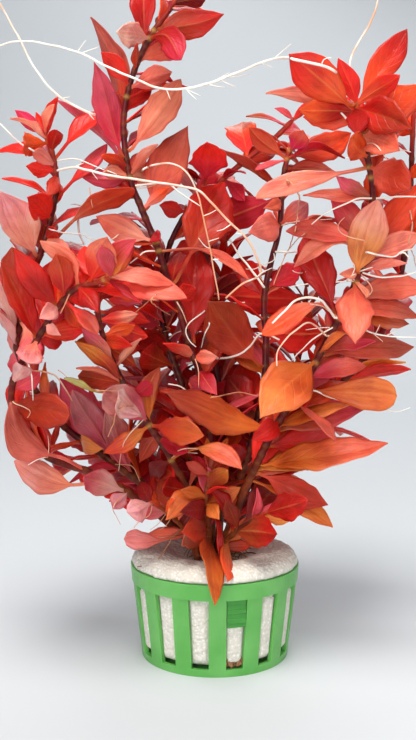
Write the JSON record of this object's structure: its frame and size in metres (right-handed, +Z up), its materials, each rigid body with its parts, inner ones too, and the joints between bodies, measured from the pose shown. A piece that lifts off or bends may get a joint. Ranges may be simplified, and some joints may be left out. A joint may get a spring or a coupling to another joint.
{
  "type": "super red ludwigia palustris",
  "caption": "Bushy red aquarium stem plant with opposite leaves and thin white water roots, rooted in a foam plug in a green net pot.",
  "frame": {"origin": "centre of the pot's base, on the surface it stands on", "axes": "+Z up, -Y towards the viewer of the picture's front, +X to the viewer's right"},
  "size_m": [0.1268, 0.1056, 0.1965],
  "materials": {
    "green_plastic": "satin",
    "white_foam": "matte",
    "stem": "satin",
    "red_leaf": "satin",
    "dark_red_leaf": "satin",
    "orange_leaf": "satin",
    "pink_leaf": "satin",
    "water_root": "satin"
  },
  "bodies": {
    "root": {"net_pot": "green_plastic", "foam_plug": "white_foam", "stem_tall_left": "stem", "stem_right": "stem", "stem_far_left": "stem", "stem_left_bow": "stem", "stem_inner_left": "stem", "stem_middle": "stem", "stem_back_middle": "stem", "stem_back_right": "stem", "stem_far_right": "stem", "stem_low_front": "stem", "stem_low_right": "stem", "stem_low_left": "stem", "stem_rear_left": "stem", "stem_rear_right": "stem", "stem_rear_middle": "stem", "stem_rear_low": "stem", "back_middle_leaf_01": "red_leaf", "back_right_leaf_01": "orange_leaf", "back_right_leaf_02": "dark_red_leaf", "far_left_leaf_01": "pink_leaf", "far_left_leaf_02": "orange_leaf", "far_left_leaf_05": "red_leaf", "far_left_leaf_08": "pink_leaf", "far_left_leaf_09": "pink_leaf", "left_bow_leaf_02": "red_leaf", "left_bow_leaf_13": "pink_leaf", "low_right_leaf_01": "dark_red_leaf", "right_leaf_01": "red_leaf", "right_leaf_03": "red_leaf", "right_leaf_11": "red_leaf", "right_leaf_12": "pink_leaf", "right_leaf_14": "pink_leaf", "right_leaf_16": "red_leaf", "right_leaf_17": "dark_red_leaf", "right_leaf_19": "red_leaf", "right_leaf_20": "orange_leaf", "right_leaf_21": "dark_red_leaf", "right_leaf_22": "orange_leaf", "right_leaf_23": "orange_leaf", "right_leaf_24": "pink_leaf", "right_leaf_25": "dark_red_leaf", "right_leaf_26": "orange_leaf", "right_leaf_27": "red_leaf", "tall_left_leaf_09": "dark_red_leaf", "tall_left_leaf_10": "pink_leaf", "tall_left_leaf_11": "dark_red_leaf", "tall_left_leaf_12": "dark_red_leaf", "tall_left_leaf_13": "dark_red_leaf", "tall_left_leaf_14": "dark_red_leaf", "root_long_top": "water_root", "root_high_left": "water_root", "root_upper_left": "water_root", "root_crown": "water_root", "root_across": "water_root", "root_hanging": "water_root", "root_right_arc": "water_root", "root_right_low": "water_root", "root_inner": "water_root"}
  },
  "joints": []
}
